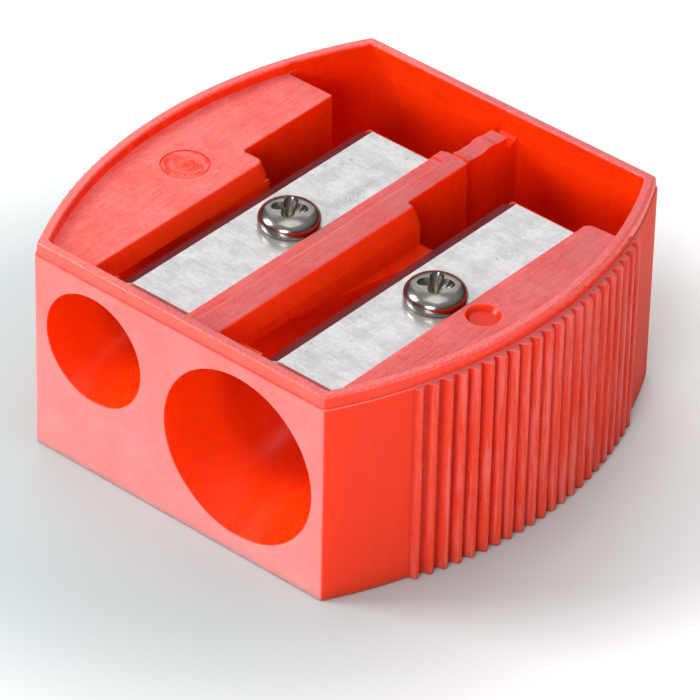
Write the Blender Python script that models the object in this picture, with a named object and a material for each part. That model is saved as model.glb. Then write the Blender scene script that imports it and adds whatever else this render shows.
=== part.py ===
# Pencil sharpener for two pencil sizes: one moulded body, two screwed blades.
#
# Metres, +Z up. Pencils enter the front face along +Y, the standard bore is on the -X side and the jumbo
# bore on the +X side. The origin is in the middle of the base.

import math

import bmesh
import bpy

MM = 0.001

# Clearance that separate pieces keep from each other
FIT_GAP = 0.3 * MM

# Pencil bores: radius at the front face and full angle of the cone
STANDARD_RADIUS = 3.97 * MM
STANDARD_TAPER = math.radians(23.0)
JUMBO_RADIUS = 6.06 * MM
JUMBO_TAPER = math.radians(29.0)
LEAD_HOLE_RADIUS = 0.5 * MM
BORE_SIDES = 48

# Plastic left round the bores
STANDARD_SIDE_WEB = 1.0 * MM
MIDDLE_WEB = 2.04 * MM
JUMBO_SIDE_WEB = 0.9 * MM
BORE_FLOOR = 1.48 * MM

# Body
DEPTH = 32.3 * MM
SIDE_BOW = 4.25 * MM
FRONT_WALL = 0.85 * MM
SIDE_WALL = 0.82 * MM
BACK_WALL = 0.8 * MM
WELL_FLOOR = 1.2 * MM
DECK_OVER_BLADE_PLANE = 1.2 * MM
RIM_OVER_DECK = 0.75 * MM
DECK_PAST_BLADE = 0.8 * MM
WELL_LENGTH = 5.5 * MM
DIVIDER_THICKNESS = 1.3 * MM
DIVIDER_FROM_POCKET = 1.18 * MM
DIVIDER_DROP = 0.4 * MM
SIDE_STEPS = 40

# Grip ribs on the two bowed sides
RIB_COUNT = 22
RIB_PITCH = 1.0 * MM
RIB_PROUD_MIDDLE = 0.77 * MM
RIB_PROUD_END = 0.52 * MM
RIB_VALLEY_PROUD = 0.05 * MM
RIB_CREST_SHARE = 0.14
RIB_BASE_SHARE = 0.94
RIB_BELOW_RIM = 0.95 * MM
RIB_BACK_SHIFT = 0.15 * MM
RIB_ROOT = 0.3 * MM

# Blades: ground flat on the underside, bevelled on top along the cutting edge. Both are the same blade,
# which runs from a bore's axis to just short of the jumbo bore's side.
BLADE_SHORT_OF_BORE = 0.06 * MM
BLADE_THICKNESS = 0.6 * MM
BLADE_BEVEL = 1.14 * MM
BLADE_FRONT_CLEARANCE = 1.55 * MM

# Chip slots beside the cutting edges: widths at the deck and at the crease below it, the slot's depth
# under the blade plane, and the chute behind it that opens into the well
STANDARD_SLOT_TOP = 1.2 * MM
STANDARD_SLOT_CREASE = 0.78 * MM
STANDARD_CHUTE_WIDTH = 2.95 * MM
STANDARD_CHUTE_START = 17.3 * MM
JUMBO_SLOT_TOP = 2.94 * MM
JUMBO_SLOT_CREASE = 2.44 * MM
JUMBO_CHUTE_WIDTH = 3.5 * MM
JUMBO_CHUTE_START = 20.0 * MM
SLOT_START = 3.0 * MM
SLOT_CREASE_DEPTH = 1.25 * MM
SLOT_DEPTH = 1.5 * MM

# Blade screws
HEAD_TO_POCKET_WALL = 0.2 * MM
SHANK_RADIUS = 1.1 * MM
SHANK_LENGTH = 6.2 * MM
HEAD_RADIUS = 2.05 * MM
HEAD_HEIGHT = 1.35 * MM
HEAD_UNDERCUT = 0.3 * MM
RECESS_SPAN = 2.6 * MM
RECESS_SLOT = 0.55 * MM
RECESS_DEPTH = 0.75 * MM
SCREW_SIDES = 32
PILOT_END_CLEARANCE = 0.5 * MM

# Ejector marks on the decks
STANDARD_MARK = {"from_pocket": 3.47 * MM, "from_front": 13.6 * MM, "radius": 1.57 * MM, "depth": 0.1 * MM}
JUMBO_MARK = {"from_pocket": 1.51 * MM, "from_front": 13.9 * MM, "radius": 1.15 * MM, "depth": 0.3 * MM}

# How far a cutter runs past the surface that it opens
OVERRUN = 1.0 * MM

# Worked out from the sizes above
HALF_FRONT = (STANDARD_SIDE_WEB + 2 * STANDARD_RADIUS + MIDDLE_WEB + 2 * JUMBO_RADIUS + JUMBO_SIDE_WEB) / 2
STANDARD_X = -HALF_FRONT + STANDARD_SIDE_WEB + STANDARD_RADIUS
JUMBO_X = HALF_FRONT - JUMBO_SIDE_WEB - JUMBO_RADIUS

BLADE_WIDTH = JUMBO_RADIUS - BLADE_SHORT_OF_BORE
POCKET_WALL = BLADE_WIDTH + FIT_GAP
SCREW_FROM_EDGE = POCKET_WALL - HEAD_TO_POCKET_WALL - HEAD_RADIUS
DIVIDER_X = STANDARD_X + POCKET_WALL + DIVIDER_FROM_POCKET

BLADE_PLANE = BORE_FLOOR + 2 * JUMBO_RADIUS
BLADE_TOP = BLADE_PLANE + BLADE_THICKNESS
SEAT = BLADE_PLANE - FIT_GAP
DECK = BLADE_PLANE + DECK_OVER_BLADE_PLANE
HEIGHT = DECK + RIM_OVER_DECK

FRONT = -DEPTH / 2
BLADE_FRONT = FRONT + FRONT_WALL + BLADE_FRONT_CLEARANCE
WELL_BACK = FRONT + DEPTH - BACK_WALL
DECK_BACK = WELL_BACK - WELL_LENGTH
WELL_MIDDLE = (DECK_BACK + WELL_BACK) / 2
BLADE_BACK = DECK_BACK - DECK_PAST_BLADE
SCREW_Y = (BLADE_FRONT + BLADE_BACK) / 2

SIDE_RADIUS = (SIDE_BOW ** 2 + (DEPTH / 2) ** 2) / (2 * SIDE_BOW)
SIDE_CENTRE = HALF_FRONT + SIDE_BOW - SIDE_RADIUS


def clear_scene():
    for obj in list(bpy.data.objects):
        bpy.data.objects.remove(obj, do_unlink=True)


def material(name, colour, roughness, metallic):
    made = bpy.data.materials.new(name)
    made.use_nodes = True
    shader = made.node_tree.nodes["Principled BSDF"]
    shader.inputs["Base Color"].default_value = (*colour, 1.0)
    shader.inputs["Roughness"].default_value = roughness
    shader.inputs["Metallic"].default_value = metallic
    return made


def new_object(name, mesh_edit):
    """Link a new object whose mesh is the bmesh given, with its faces turned outwards."""
    bmesh.ops.recalc_face_normals(mesh_edit, faces=mesh_edit.faces)
    mesh = bpy.data.meshes.new(name)
    mesh_edit.to_mesh(mesh)
    mesh_edit.free()
    obj = bpy.data.objects.new(name, mesh)
    bpy.context.collection.objects.link(obj)
    return obj


def prism(name, outline, start, end):
    """Extrude a closed outline of 3-D points from its start offset to its end offset, two vectors."""
    edit = bmesh.new()
    low = [edit.verts.new([p + o for p, o in zip(point, start)]) for point in outline]
    high = [edit.verts.new([p + o for p, o in zip(point, end)]) for point in outline]
    edit.faces.new(low)
    edit.faces.new(high)
    for i, vertex in enumerate(low):
        after = (i + 1) % len(low)
        edit.faces.new((vertex, low[after], high[after], high[i]))
    return new_object(name, edit)


def upright(name, plan, bottom, top):
    """Extrude a plan outline of (x, y) points along Z."""
    return prism(name, [(x, y, 0.0) for x, y in plan], (0, 0, bottom), (0, 0, top))


def along_y(name, section, front, back):
    """Extrude a section of (x, z) points along Y."""
    return prism(name, [(x, 0.0, z) for x, z in section], (0, front, 0), (0, back, 0))


def box(name, low, high):
    plan = [(low[0], low[1]), (high[0], low[1]), (high[0], high[1]), (low[0], high[1])]
    return upright(name, plan, low[2], high[2])


def cylinder(name, x, y, bottom, top, radius, sides):
    plan = [(x + radius * math.cos(turn), y + radius * math.sin(turn))
            for turn in (2 * math.pi * i / sides for i in range(sides))]
    return upright(name, plan, bottom, top)


def combine(target, other, operation):
    """Apply a Boolean to the target and leave the other object as a hidden guide."""
    other.hide_render = True
    other.display_type = 'WIRE'
    boolean = target.modifiers.new(other.name, 'BOOLEAN')
    boolean.operation = operation
    boolean.solver = 'EXACT'
    boolean.object = other


def side_x(y, inset=0.0):
    """Half width of the bowed body at a depth y, drawn in by the inset."""
    return SIDE_CENTRE + math.sqrt((SIDE_RADIUS - inset) ** 2 - y ** 2)


def bowed_edge(front, back, inset=0.0):
    """Points (x, y) along the +X side arc from one depth to another."""
    depths = [front + (back - front) * i / SIDE_STEPS for i in range(SIDE_STEPS + 1)]
    return [(side_x(y, inset), y) for y in depths]


def mirrored(points):
    return [(-x, y) for x, y in points]


def bowed_plan(front, back, inset=0.0):
    right = bowed_edge(front, back, inset)
    return right + mirrored(right)[::-1]


def rib_comb(name, side):
    """One side's V-shaped grip ribs, flat on top, rooted in the wall and lower towards both ends."""
    half_span = (RIB_COUNT - 1) * RIB_PITCH / 2
    crest = RIB_PITCH * RIB_CREST_SHARE / 2
    base = RIB_PITCH * RIB_BASE_SHARE / 2
    outer = []
    for i in range(RIB_COUNT):
        middle = RIB_BACK_SHIFT - half_span + i * RIB_PITCH
        reach = (2 * i / (RIB_COUNT - 1) - 1) ** 2
        proud = RIB_PROUD_MIDDLE + (RIB_PROUD_END - RIB_PROUD_MIDDLE) * reach
        outer += [(middle - base, RIB_VALLEY_PROUD), (middle - crest, proud),
                  (middle + crest, proud), (middle + base, RIB_VALLEY_PROUD)]
    plan = [(side * (side_x(y) + proud), y) for y, proud in outer]
    plan += [(side * (side_x(y) - RIB_ROOT), y) for y, proud in outer[::-1]]
    return upright(name, plan, 0.0, HEIGHT - RIB_BELOW_RIM)


def bore(name, x, radius, taper):
    """Cone whose circles all touch the blade plane, with a lead hole from its tip to the well."""
    length = 2 * radius / math.tan(taper)
    tip = FRONT + length * (1 - LEAD_HOLE_RADIUS / radius)
    stations = [(FRONT - OVERRUN, radius * (1 + OVERRUN / length)), (tip, LEAD_HOLE_RADIUS),
                (WELL_MIDDLE, LEAD_HOLE_RADIUS)]
    edit = bmesh.new()
    rings = []
    for y, r in stations:
        turns = [2 * math.pi * i / BORE_SIDES for i in range(BORE_SIDES)]
        rings.append([edit.verts.new((x + r * math.sin(turn), y, BLADE_PLANE - r + r * math.cos(turn)))
                      for turn in turns])
    edit.faces.new(rings[0])
    edit.faces.new(rings[-1])
    for ring, after in zip(rings, rings[1:]):
        for i in range(BORE_SIDES):
            j = (i + 1) % BORE_SIDES
            edit.faces.new((ring[i], ring[j], after[j], after[i]))
    return new_object(name, edit)


def blade_pocket(name, x, slot_top, slot_crease):
    """Open pocket over the blade: the seat, the wall beside it, and the slot's sloping wall."""
    wall = x + POCKET_WALL
    crease = DECK - SLOT_CREASE_DEPTH
    section = [(x - slot_top, HEIGHT + OVERRUN), (x - slot_top, DECK), (x - slot_crease, crease),
               (x - slot_crease, SEAT), (wall, SEAT), (wall, HEIGHT + OVERRUN)]
    return along_y(name, section, FRONT + FRONT_WALL, WELL_MIDDLE)


def cut_blade_station(body, size, x, slot_top, slot_crease, chute_width, chute_start):
    """Cut everything that one blade needs: pocket, chip slot, chute and screw pilot."""
    screw_x = x + SCREW_FROM_EDGE
    pilot_bottom = BLADE_TOP + FIT_GAP - SHANK_LENGTH - PILOT_END_CLEARANCE
    chute_front = FRONT + chute_start
    cutters = [
        blade_pocket(size + "_pocket", x, slot_top, slot_crease),
        box(size + "_slot", (x - slot_crease, FRONT + SLOT_START, BLADE_PLANE - SLOT_DEPTH),
            (x, WELL_MIDDLE, SEAT + OVERRUN)),
        box(size + "_chute", (x - chute_width, chute_front, WELL_FLOOR),
            (x, WELL_MIDDLE, HEIGHT + OVERRUN)),
        cylinder(size + "_pilot", screw_x, SCREW_Y, pilot_bottom, SEAT + OVERRUN,
                 SHANK_RADIUS + FIT_GAP, SCREW_SIDES),
    ]
    for cutter in cutters:
        combine(body, cutter, 'DIFFERENCE')


def well(name, side):
    """Plan of the open well behind the blades, on one side of the divider."""
    edge = DIVIDER_X + side * DIVIDER_THICKNESS / 2
    arc = bowed_edge(DECK_BACK, WELL_BACK, SIDE_WALL)
    if side < 0:
        arc = mirrored(arc)
    plan = [(edge, DECK_BACK)] + arc + [(edge, WELL_BACK)]
    return upright(name, plan, WELL_FLOOR, HEIGHT + OVERRUN)


def cut_mark(body, name, deck_edge, side, mark):
    x = deck_edge + side * mark["from_pocket"]
    cutter = cylinder(name, x, FRONT + mark["from_front"], DECK - mark["depth"],
                      DECK + OVERRUN / 4, mark["radius"], SCREW_SIDES)
    combine(body, cutter, 'DIFFERENCE')


def make_body():
    body = upright("body", bowed_plan(FRONT, FRONT + DEPTH), 0.0, HEIGHT)
    combine(body, rib_comb("right_ribs", 1), 'UNION')
    combine(body, rib_comb("left_ribs", -1), 'UNION')
    combine(body, upright("recess", bowed_plan(FRONT + FRONT_WALL, WELL_BACK, SIDE_WALL), DECK,
                          HEIGHT + OVERRUN), 'DIFFERENCE')
    combine(body, well("left_well", -1), 'DIFFERENCE')
    combine(body, well("right_well", 1), 'DIFFERENCE')
    half_gap = DIVIDER_THICKNESS / 2 + OVERRUN
    combine(body, box("divider_top", (DIVIDER_X - half_gap, DECK_BACK, DECK - DIVIDER_DROP),
                      (DIVIDER_X + half_gap, WELL_BACK, HEIGHT + OVERRUN)), 'DIFFERENCE')
    combine(body, bore("standard_bore", STANDARD_X, STANDARD_RADIUS, STANDARD_TAPER), 'DIFFERENCE')
    combine(body, bore("jumbo_bore", JUMBO_X, JUMBO_RADIUS, JUMBO_TAPER), 'DIFFERENCE')
    cut_blade_station(body, "standard", STANDARD_X, STANDARD_SLOT_TOP, STANDARD_SLOT_CREASE,
                      STANDARD_CHUTE_WIDTH, STANDARD_CHUTE_START)
    cut_blade_station(body, "jumbo", JUMBO_X, JUMBO_SLOT_TOP, JUMBO_SLOT_CREASE,
                      JUMBO_CHUTE_WIDTH, JUMBO_CHUTE_START)
    cut_mark(body, "standard_mark", STANDARD_X - STANDARD_SLOT_TOP, -1, STANDARD_MARK)
    cut_mark(body, "jumbo_mark", JUMBO_X + POCKET_WALL, 1, JUMBO_MARK)
    return body


def make_blade(name, x):
    """Flat blade with its bevel along the cutting edge, and a hole for the screw."""
    section = [(x, BLADE_PLANE), (x + BLADE_WIDTH, BLADE_PLANE), (x + BLADE_WIDTH, BLADE_TOP),
               (x + BLADE_BEVEL, BLADE_TOP)]
    blade = along_y(name, section, BLADE_FRONT, BLADE_BACK)
    hole = cylinder(name + "_hole", x + SCREW_FROM_EDGE, SCREW_Y, BLADE_PLANE - OVERRUN,
                    BLADE_TOP + OVERRUN, SHANK_RADIUS + FIT_GAP, SCREW_SIDES)
    combine(blade, hole, 'DIFFERENCE')
    return blade


def make_screw(name, x):
    """Pan-head screw turned about its own axis, with a cross recess; its origin is on that axis."""
    seat = 0.0
    crown = HEAD_RADIUS * 0.74
    profile = [(0.0, seat - SHANK_LENGTH), (SHANK_RADIUS * 0.5, seat - SHANK_LENGTH),
               (SHANK_RADIUS, seat - SHANK_LENGTH + SHANK_RADIUS), (SHANK_RADIUS, seat),
               (HEAD_RADIUS - HEAD_UNDERCUT, seat), (HEAD_RADIUS, seat + HEAD_UNDERCUT),
               (HEAD_RADIUS, seat + HEAD_HEIGHT * 0.55), (HEAD_RADIUS * 0.93, seat + HEAD_HEIGHT * 0.82),
               (crown, seat + HEAD_HEIGHT), (0.0, seat + HEAD_HEIGHT)]
    edit = bmesh.new()
    points = [edit.verts.new((r, 0.0, z)) for r, z in profile]
    edges = [edit.edges.new(pair) for pair in zip(points, points[1:])]
    bmesh.ops.spin(edit, geom=points + edges, cent=(0, 0, 0), axis=(0, 0, 1), dvec=(0, 0, 0),
                   angle=2 * math.pi, steps=SCREW_SIDES, use_merge=True)
    bmesh.ops.remove_doubles(edit, verts=edit.verts, dist=0.001 * MM)
    screw = new_object(name, edit)
    for face in screw.data.polygons:
        face.use_smooth = True
    screw.data.set_sharp_from_angle(angle=math.radians(35))
    screw.location = (x + SCREW_FROM_EDGE, SCREW_Y, BLADE_TOP + FIT_GAP)

    half, thin = RECESS_SPAN / 2, RECESS_SLOT / 2
    cross = [(half, -thin), (half, thin), (thin, thin), (thin, half), (-thin, half), (-thin, thin),
             (-half, thin), (-half, -thin), (-thin, -thin), (-thin, -half), (thin, -half), (thin, -thin)]
    recess = upright(name + "_recess", cross, HEAD_HEIGHT - RECESS_DEPTH, HEAD_HEIGHT + OVERRUN)
    recess.location = screw.location
    combine(screw, recess, 'DIFFERENCE')
    return screw


def main():
    clear_scene()
    plastic = material("red_plastic", (0.80, 0.03, 0.01), 0.3, 0.0)
    steel = material("blade_steel", (0.62, 0.61, 0.60), 0.35, 1.0)
    nickel = material("screw_nickel", (0.70, 0.66, 0.60), 0.15, 1.0)
    make_body().data.materials.append(plastic)
    make_blade("standard_blade", STANDARD_X).data.materials.append(steel)
    make_blade("jumbo_blade", JUMBO_X).data.materials.append(steel.copy())
    make_screw("standard_blade_screw", STANDARD_X).data.materials.append(nickel)
    make_screw("jumbo_blade_screw", JUMBO_X).data.materials.append(nickel.copy())


main()
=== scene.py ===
import math
import bpy
import numpy as np
from mathutils import Matrix, Vector


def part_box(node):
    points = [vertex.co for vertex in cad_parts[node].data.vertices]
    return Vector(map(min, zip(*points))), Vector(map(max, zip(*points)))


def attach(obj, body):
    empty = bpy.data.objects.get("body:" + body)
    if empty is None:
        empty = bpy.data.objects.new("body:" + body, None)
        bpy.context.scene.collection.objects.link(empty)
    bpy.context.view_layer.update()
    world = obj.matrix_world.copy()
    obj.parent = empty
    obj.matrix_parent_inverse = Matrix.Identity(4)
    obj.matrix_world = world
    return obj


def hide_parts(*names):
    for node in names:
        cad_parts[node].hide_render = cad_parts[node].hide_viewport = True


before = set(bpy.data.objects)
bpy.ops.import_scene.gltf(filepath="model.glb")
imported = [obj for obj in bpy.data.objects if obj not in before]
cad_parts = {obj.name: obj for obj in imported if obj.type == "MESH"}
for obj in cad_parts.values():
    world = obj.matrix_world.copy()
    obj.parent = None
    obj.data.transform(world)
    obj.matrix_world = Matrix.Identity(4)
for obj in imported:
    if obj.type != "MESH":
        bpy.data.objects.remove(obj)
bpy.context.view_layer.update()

# Pencil sharpener for two pencil sizes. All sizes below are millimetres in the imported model's own frame.
mm = 0.001


def nodeBox(name):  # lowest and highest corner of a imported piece, in millimetres
    low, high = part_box(name)
    return np.array(low) / mm, np.array(high) / mm


bodyLow, bodyHigh = nodeBox("body")
bladeBoxes = {"standard": nodeBox("standard_blade"), "jumbo": nodeBox("jumbo_blade")}
front, back, rimTop = bodyLow[1], bodyHigh[1], bodyHigh[2]
bladePlane, bladeTop = bladeBoxes["standard"][0][2], bladeBoxes["standard"][1][2]
bladeFront, bladeBack = bladeBoxes["standard"][0][1], bladeBoxes["standard"][1][1]
edgeX = {size: box[0][0] for size, box in bladeBoxes.items()}  # each cutting edge lies on its bore's axis
overrun = 1.0  # how far a cutter runs past the surface it opens


# Mesh object from points in millimetres and a list of faces
def meshObject(name, points, faces):
    mesh = bpy.data.meshes.new(name)
    mesh.from_pydata((np.asarray(points) * mm).tolist(), [], faces)
    mesh.update()
    made = bpy.data.objects.new(name, mesh)
    bpy.context.collection.objects.link(made)
    return made


# Skin over a stack of rings: ring k joins ring k+1 point by point, and one face closes each end
def skinRings(name, rings):
    count, around = rings.shape[:2]
    index = np.arange(count * around).reshape(count, around)
    after = np.roll(index, -1, 1)
    quads = np.stack([index[:-1], after[:-1], after[1:], index[1:]], -1).reshape(-1, 4)
    ends = [index[0, ::-1].tolist(), index[-1].tolist()]
    return meshObject(name, rings.reshape(-1, 3), quads.tolist() + ends)


# Anticlockwise outline with rounded corners. A corner's arc has its centre on the corner's bisector, and
# the second result is how far each point moves when the outline's edges move outwards by one unit of grow.
def roundedOutline(corners, radii, grow, arcSteps=7):
    corners = np.array(corners, float)
    ahead = np.roll(corners, -1, 0) - corners
    edge = ahead / np.linalg.norm(ahead, axis=1, keepdims=True)
    normal = np.stack([edge[:, 1], -edge[:, 0]], 1)
    points, moves = [], []
    for i, corner in enumerate(corners):
        before, after = normal[i - 1], normal[i]
        turn = math.atan2(edge[i - 1][0] * edge[i][1] - edge[i - 1][1] * edge[i][0], edge[i - 1] @ edge[i])
        if abs(turn) < 0.12:  # a point on a long curve
            middle = (before + after) / np.linalg.norm(before + after)
            points.append(corner[None])
            moves.append((middle * (grow[i - 1] + grow[i]) / 2 / (middle @ after))[None])
        elif radii[i] < 1e-6:
            points.append(corner[None])
            moves.append(np.linalg.solve([before, after], [grow[i - 1], grow[i]])[None])
        else:
            side = math.copysign(1.0, turn)
            centre = corner - edge[i - 1] * radii[i] * math.tan(abs(turn) / 2) - before * radii[i] * side
            angles = math.atan2(before[1] * side, before[0] * side) + np.linspace(0, turn, arcSteps + 1)
            spokes = np.stack([np.cos(angles), np.sin(angles)], 1)
            points.append(centre + radii[i] * spokes)
            moves.append(spokes * side * grow[i])
    return np.vstack(points), np.vstack(moves)


# Rings of an outline at several heights: each level is (height, move), and a ring is outline + moves * move
def stackedRings(points, moves, levels):
    return np.stack([np.column_stack([points + moves * move, np.full(len(points), height)])
                     for height, move in levels])


# Quarter circle that opens a cutter out at a surface, so the edge left on the body is rounded
def flare(top, radius, steps=5):
    turn = np.linspace(0, math.pi / 2, steps + 1)
    return list(zip(top - radius + radius * np.sin(turn), radius - radius * np.cos(turn)))


# The object cuts each cutter's volume out of the body, then the result is kept as one plain mesh
def cutAway(target, cutters):
    for cutter in cutters:
        boolean = target.modifiers.new(cutter.name, "BOOLEAN")
        boolean.operation, boolean.solver, boolean.object = "DIFFERENCE", "EXACT", cutter
    graph = bpy.context.evaluated_depsgraph_get()
    result = bpy.data.meshes.new_from_object(target.evaluated_get(graph))
    target.modifiers.clear()
    target.data = result
    for cutter in cutters:
        bpy.data.objects.remove(cutter, do_unlink=True)


# Smooth shading, but sharp over edges that turn by more than the angle; big flat faces keep their own normals
def smoothByAngle(made, degrees):
    made.data.polygons.foreach_set("use_smooth", np.ones(len(made.data.polygons), bool))
    made.data.set_sharp_from_angle(angle=math.radians(degrees))
    weighted = made.modifiers.new("facesKeepFlat", "WEIGHTED_NORMAL")
    weighted.keep_sharp, weighted.weight = True, 80


bodyShape = {
    "halfFront": 12.0, "sideBow": 4.25, "draft": 0.0062,  # the base is wider than the rim by this share
    "frontCorner": 0.42, "backCorner": 0.35, "baseRound": 0.16, "rimRound": 0.22, "rimInset": 0.13,
    "sideWall": 0.82, "frontWall": 0.85, "backWall": 0.8, "innerCorner": 0.45, "rimInnerRound": 0.13,
    "partingDrop": 0.93, "deckDrop": 0.75, "edgeRound": 0.11, "seatGap": 0.04, "wellFloor": 1.2,
    "wellRound": 0.07, "wellTaper": 0.015,
    # each step at the parting line: rise over it, move outwards, share of the ribs' height
    "parting": [(-0.06, 0.0, 1.0), (-0.02, -0.02, 0.97), (0.0, -0.04, 0.9), (0.0, -0.02, 0.0),
                (0.05, 0.0, 0.0), (0.10, -0.10, 0.0), (0.2, -0.08, 0.0)],
}
ribShape = {"count": 22, "pitch": 1.0, "firstCrest": -10.35, "proudMiddle": 0.66, "proudEnd": 0.42,
            "crestRadius": 0.17, "flankDegrees": 57.0}

sideRadius = (bodyShape["sideBow"] ** 2 + back ** 2) / (2 * bodyShape["sideBow"])
sideCentre = bodyShape["halfFront"] + bodyShape["sideBow"] - sideRadius
deck = rimTop - bodyShape["deckDrop"]
seat = bladePlane - bodyShape["seatGap"]
innerFront, innerBack = front + bodyShape["frontWall"], back - bodyShape["backWall"]


# Half width at a depth: a circle about a centre on the other side, drawn in by the inset
def sideX(depth, inset=0.0):
    return sideCentre + np.sqrt((sideRadius - inset) ** 2 - np.asarray(depth) ** 2)


# Points along the +X side's arc; the points beside its ends stand back, to leave the corners room to round
def sideArc(start, end, steps, inset, room=0.9):
    depths = np.concatenate([[start], np.linspace(start + room, end - room, steps + 1), [end]])
    return np.column_stack([sideX(depths, inset), depths])


# Height of the ribs over the wall: a round crest runs tangent into straight flanks, down to the wall
def ribHeight(depth):
    flank, crest = math.radians(ribShape["flankDegrees"]), ribShape["crestRadius"]
    number = np.clip(np.round((depth - ribShape["firstCrest"]) / ribShape["pitch"]), 0, ribShape["count"] - 1)
    away = np.abs(depth - ribShape["firstCrest"] - number * ribShape["pitch"])
    reach = (number / (ribShape["count"] - 1) * 2 - 1) ** 2
    proud = ribShape["proudMiddle"] + (ribShape["proudEnd"] - ribShape["proudMiddle"]) * reach
    onCrest = proud - crest + np.sqrt(np.maximum(crest ** 2 - away ** 2, 0))
    onFlank = proud - crest + crest * math.cos(flank) - (away - crest * math.sin(flank)) * math.tan(flank)
    return np.where(away < crest * math.sin(flank), onCrest, np.maximum(onFlank, 0))


# Depths along a side, close together on the ribs: fixed steps from each crest
def sideDepths():
    steps = np.array([-0.5, -0.44, -0.385, -0.33, -0.24, -0.143, -0.1, -0.05, 0, 0.05, 0.1, 0.143, 0.24, 0.33,
                      0.385, 0.44])
    crests = ribShape["firstCrest"] + np.arange(ribShape["count"]) * ribShape["pitch"]
    ribbed = (crests[:, None] + steps).ravel()
    plain = 0.55
    ahead = np.linspace(front + plain, ribbed[0] - 0.1, 9)
    behind = np.linspace(ribbed[-1] + 0.15, back - plain, 9)
    return np.concatenate([ahead, ribbed, behind])


# Outer skin: the bowed outline carried up a wall profile; the ribs stand out along the outline's normals
def makeBlank():
    depths = sideDepths()
    right = np.column_stack([sideX(depths), depths])
    half = bodyShape["halfFront"]
    corners = np.vstack([[[-half, front], [half, front]], right, [[half, back], [-half, back]],
                         (right * [-1, 1])[::-1]])
    radii = np.zeros(len(corners))
    radii[:2] = bodyShape["frontCorner"]
    radii[len(right) + 2:len(right) + 4] = bodyShape["backCorner"]
    points, moves = roundedOutline(corners, radii, np.ones(len(corners)))
    ribs = ribHeight(points[:, 1]) * (np.abs(points[:, 0]) > half + 0.5) * (np.abs(points[:, 1]) < 11.2)
    parting = rimTop - bodyShape["partingDrop"]
    base, inset, rim = bodyShape["baseRound"], bodyShape["rimInset"], bodyShape["rimRound"]
    turn = np.linspace(0, math.pi / 2, 6)
    levels = [(base - base * math.sin(a), base * math.cos(a) - base, 1.0) for a in turn[::-1]]
    levels += [(parting + rise, move, ribbed) for rise, move, ribbed in bodyShape["parting"]]
    levels += [(rimTop - rim, -inset, 0.0)]
    levels += [(rimTop - rim + rim * math.sin(a), -inset - rim + rim * math.cos(a), 0.0) for a in turn[1:]]
    rings = []
    for height, move, ribbed in levels:
        plan = points + moves * (move + ribs * ribbed)[:, None]
        plan[:, 0] *= 1 + bodyShape["draft"] * (1 - height / rimTop)
        rings.append(np.column_stack([plan, np.full(len(plan), height)]))
    return skinRings("body_shell", np.array(rings))


# Recess inside the rim, down to the decks: the wall's inner outline, opened out at the rim
def makeRecess():
    arc = sideArc(innerFront, innerBack, 44, bodyShape["sideWall"])
    corners = np.vstack([arc, (arc * [-1, 1])[::-1]])
    radii = np.zeros(len(corners))
    radii[[0, -1]] = bodyShape["innerCorner"] * 0.8
    radii[[len(arc) - 1, len(arc)]] = bodyShape["innerCorner"]
    points, moves = roundedOutline(corners, radii, np.ones(len(corners)))
    levels = [(deck, 0.0)] + flare(rimTop, bodyShape["rimInnerRound"])
    levels += [(rimTop + overrun, bodyShape["rimInnerRound"] + 0.05)]
    return skinRings("recess", stackedRings(points, moves, levels))


# Each side's opening between the decks, as a plan from the blade seat up: pocket, chip chute and well
openings = {
    "standard": {"slotTop": 1.2, "slotCrease": 0.78, "chuteWidth": 2.95, "chuteStart": 17.3,
                 "pocketWall": 6.3, "noseRound": 0.55, "slotDepth": 1.5},
    "jumbo": {"slotTop": 2.94, "slotCrease": 2.44, "chuteWidth": 3.5, "chuteStart": 20.0, "pocketWall": 6.3,
              "noseRound": 0.25, "slotDepth": 1.5},
}
divider = {"from": -0.2, "to": 1.1, "drop": 0.42, "sections": 60, "start": 0.03, "lump": 0.14,
           "waves": 3.6, "phase": 0.6, "lumpPower": 0.6, "plainShare": 0.12, "notch": 14.25,
           "notchDrop": 0.85, "gusset": 0.34, "gussetRise": 0.25}
ribStep = {"fromEdge": 6.0, "start": 0.25, "drop": 0.14, "to": 0.2, "end": 8.9}
deckBack = bladeBack + 0.8
slotStart = front + 3.0


def wallArc(start, end, side, inset):  # the inner wall along a well, from start to end
    return sideArc(start, end, 12, inset) * [side, 1]


# Plan of the standard side's opening: corners, their radii, and which edges move out as the deck's edge
# rounds. The pocket's plan also says which edge slants; the deep plan is the chute and the well alone.
def standardPlan(inset, pocket):
    x, part = edgeX["standard"], openings["standard"]
    chute = front + part["chuteStart"]
    arc = wallArc(deckBack, innerBack + inset, -1, bodyShape["sideWall"] - inset)
    if pocket:
        corners = [(x - part["slotTop"], innerFront), (x + part["pocketWall"], innerFront),
                   (x + part["pocketWall"], deckBack), (divider["from"], deckBack),
                   (divider["from"], innerBack + inset), *arc[::-1], (x - part["chuteWidth"], deckBack),
                   (x - part["chuteWidth"], chute), (x - part["slotTop"], chute)]
        radii = [0, 0, 0.22, 0.1, 0.12, 0.3] + [0] * (len(arc) - 2) + [0.2, 0.12, 0.2, part["noseRound"]]
        grow = [0, 1, 1, 0, 0] + [0] * (len(arc) - 1) + [1, 1, 1, 1]
        slant = [0] * (len(corners) - 1) + [1]
        return corners, radii, grow, slant
    corners = [(x - part["chuteWidth"] - inset, chute - inset), (x, chute - inset), (x, deckBack - inset),
               (divider["from"] + inset, deckBack - inset), (divider["from"] + inset, innerBack + inset),
               *arc[::-1], (x - part["chuteWidth"] - inset, deckBack - inset)]
    radii = [0.2, 0.2, 0.1, 0.1, 0.12, 0.3] + [0] * (len(arc) - 2) + [0.2, 0.12]
    return corners, radii, [1] * len(corners), None


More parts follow.
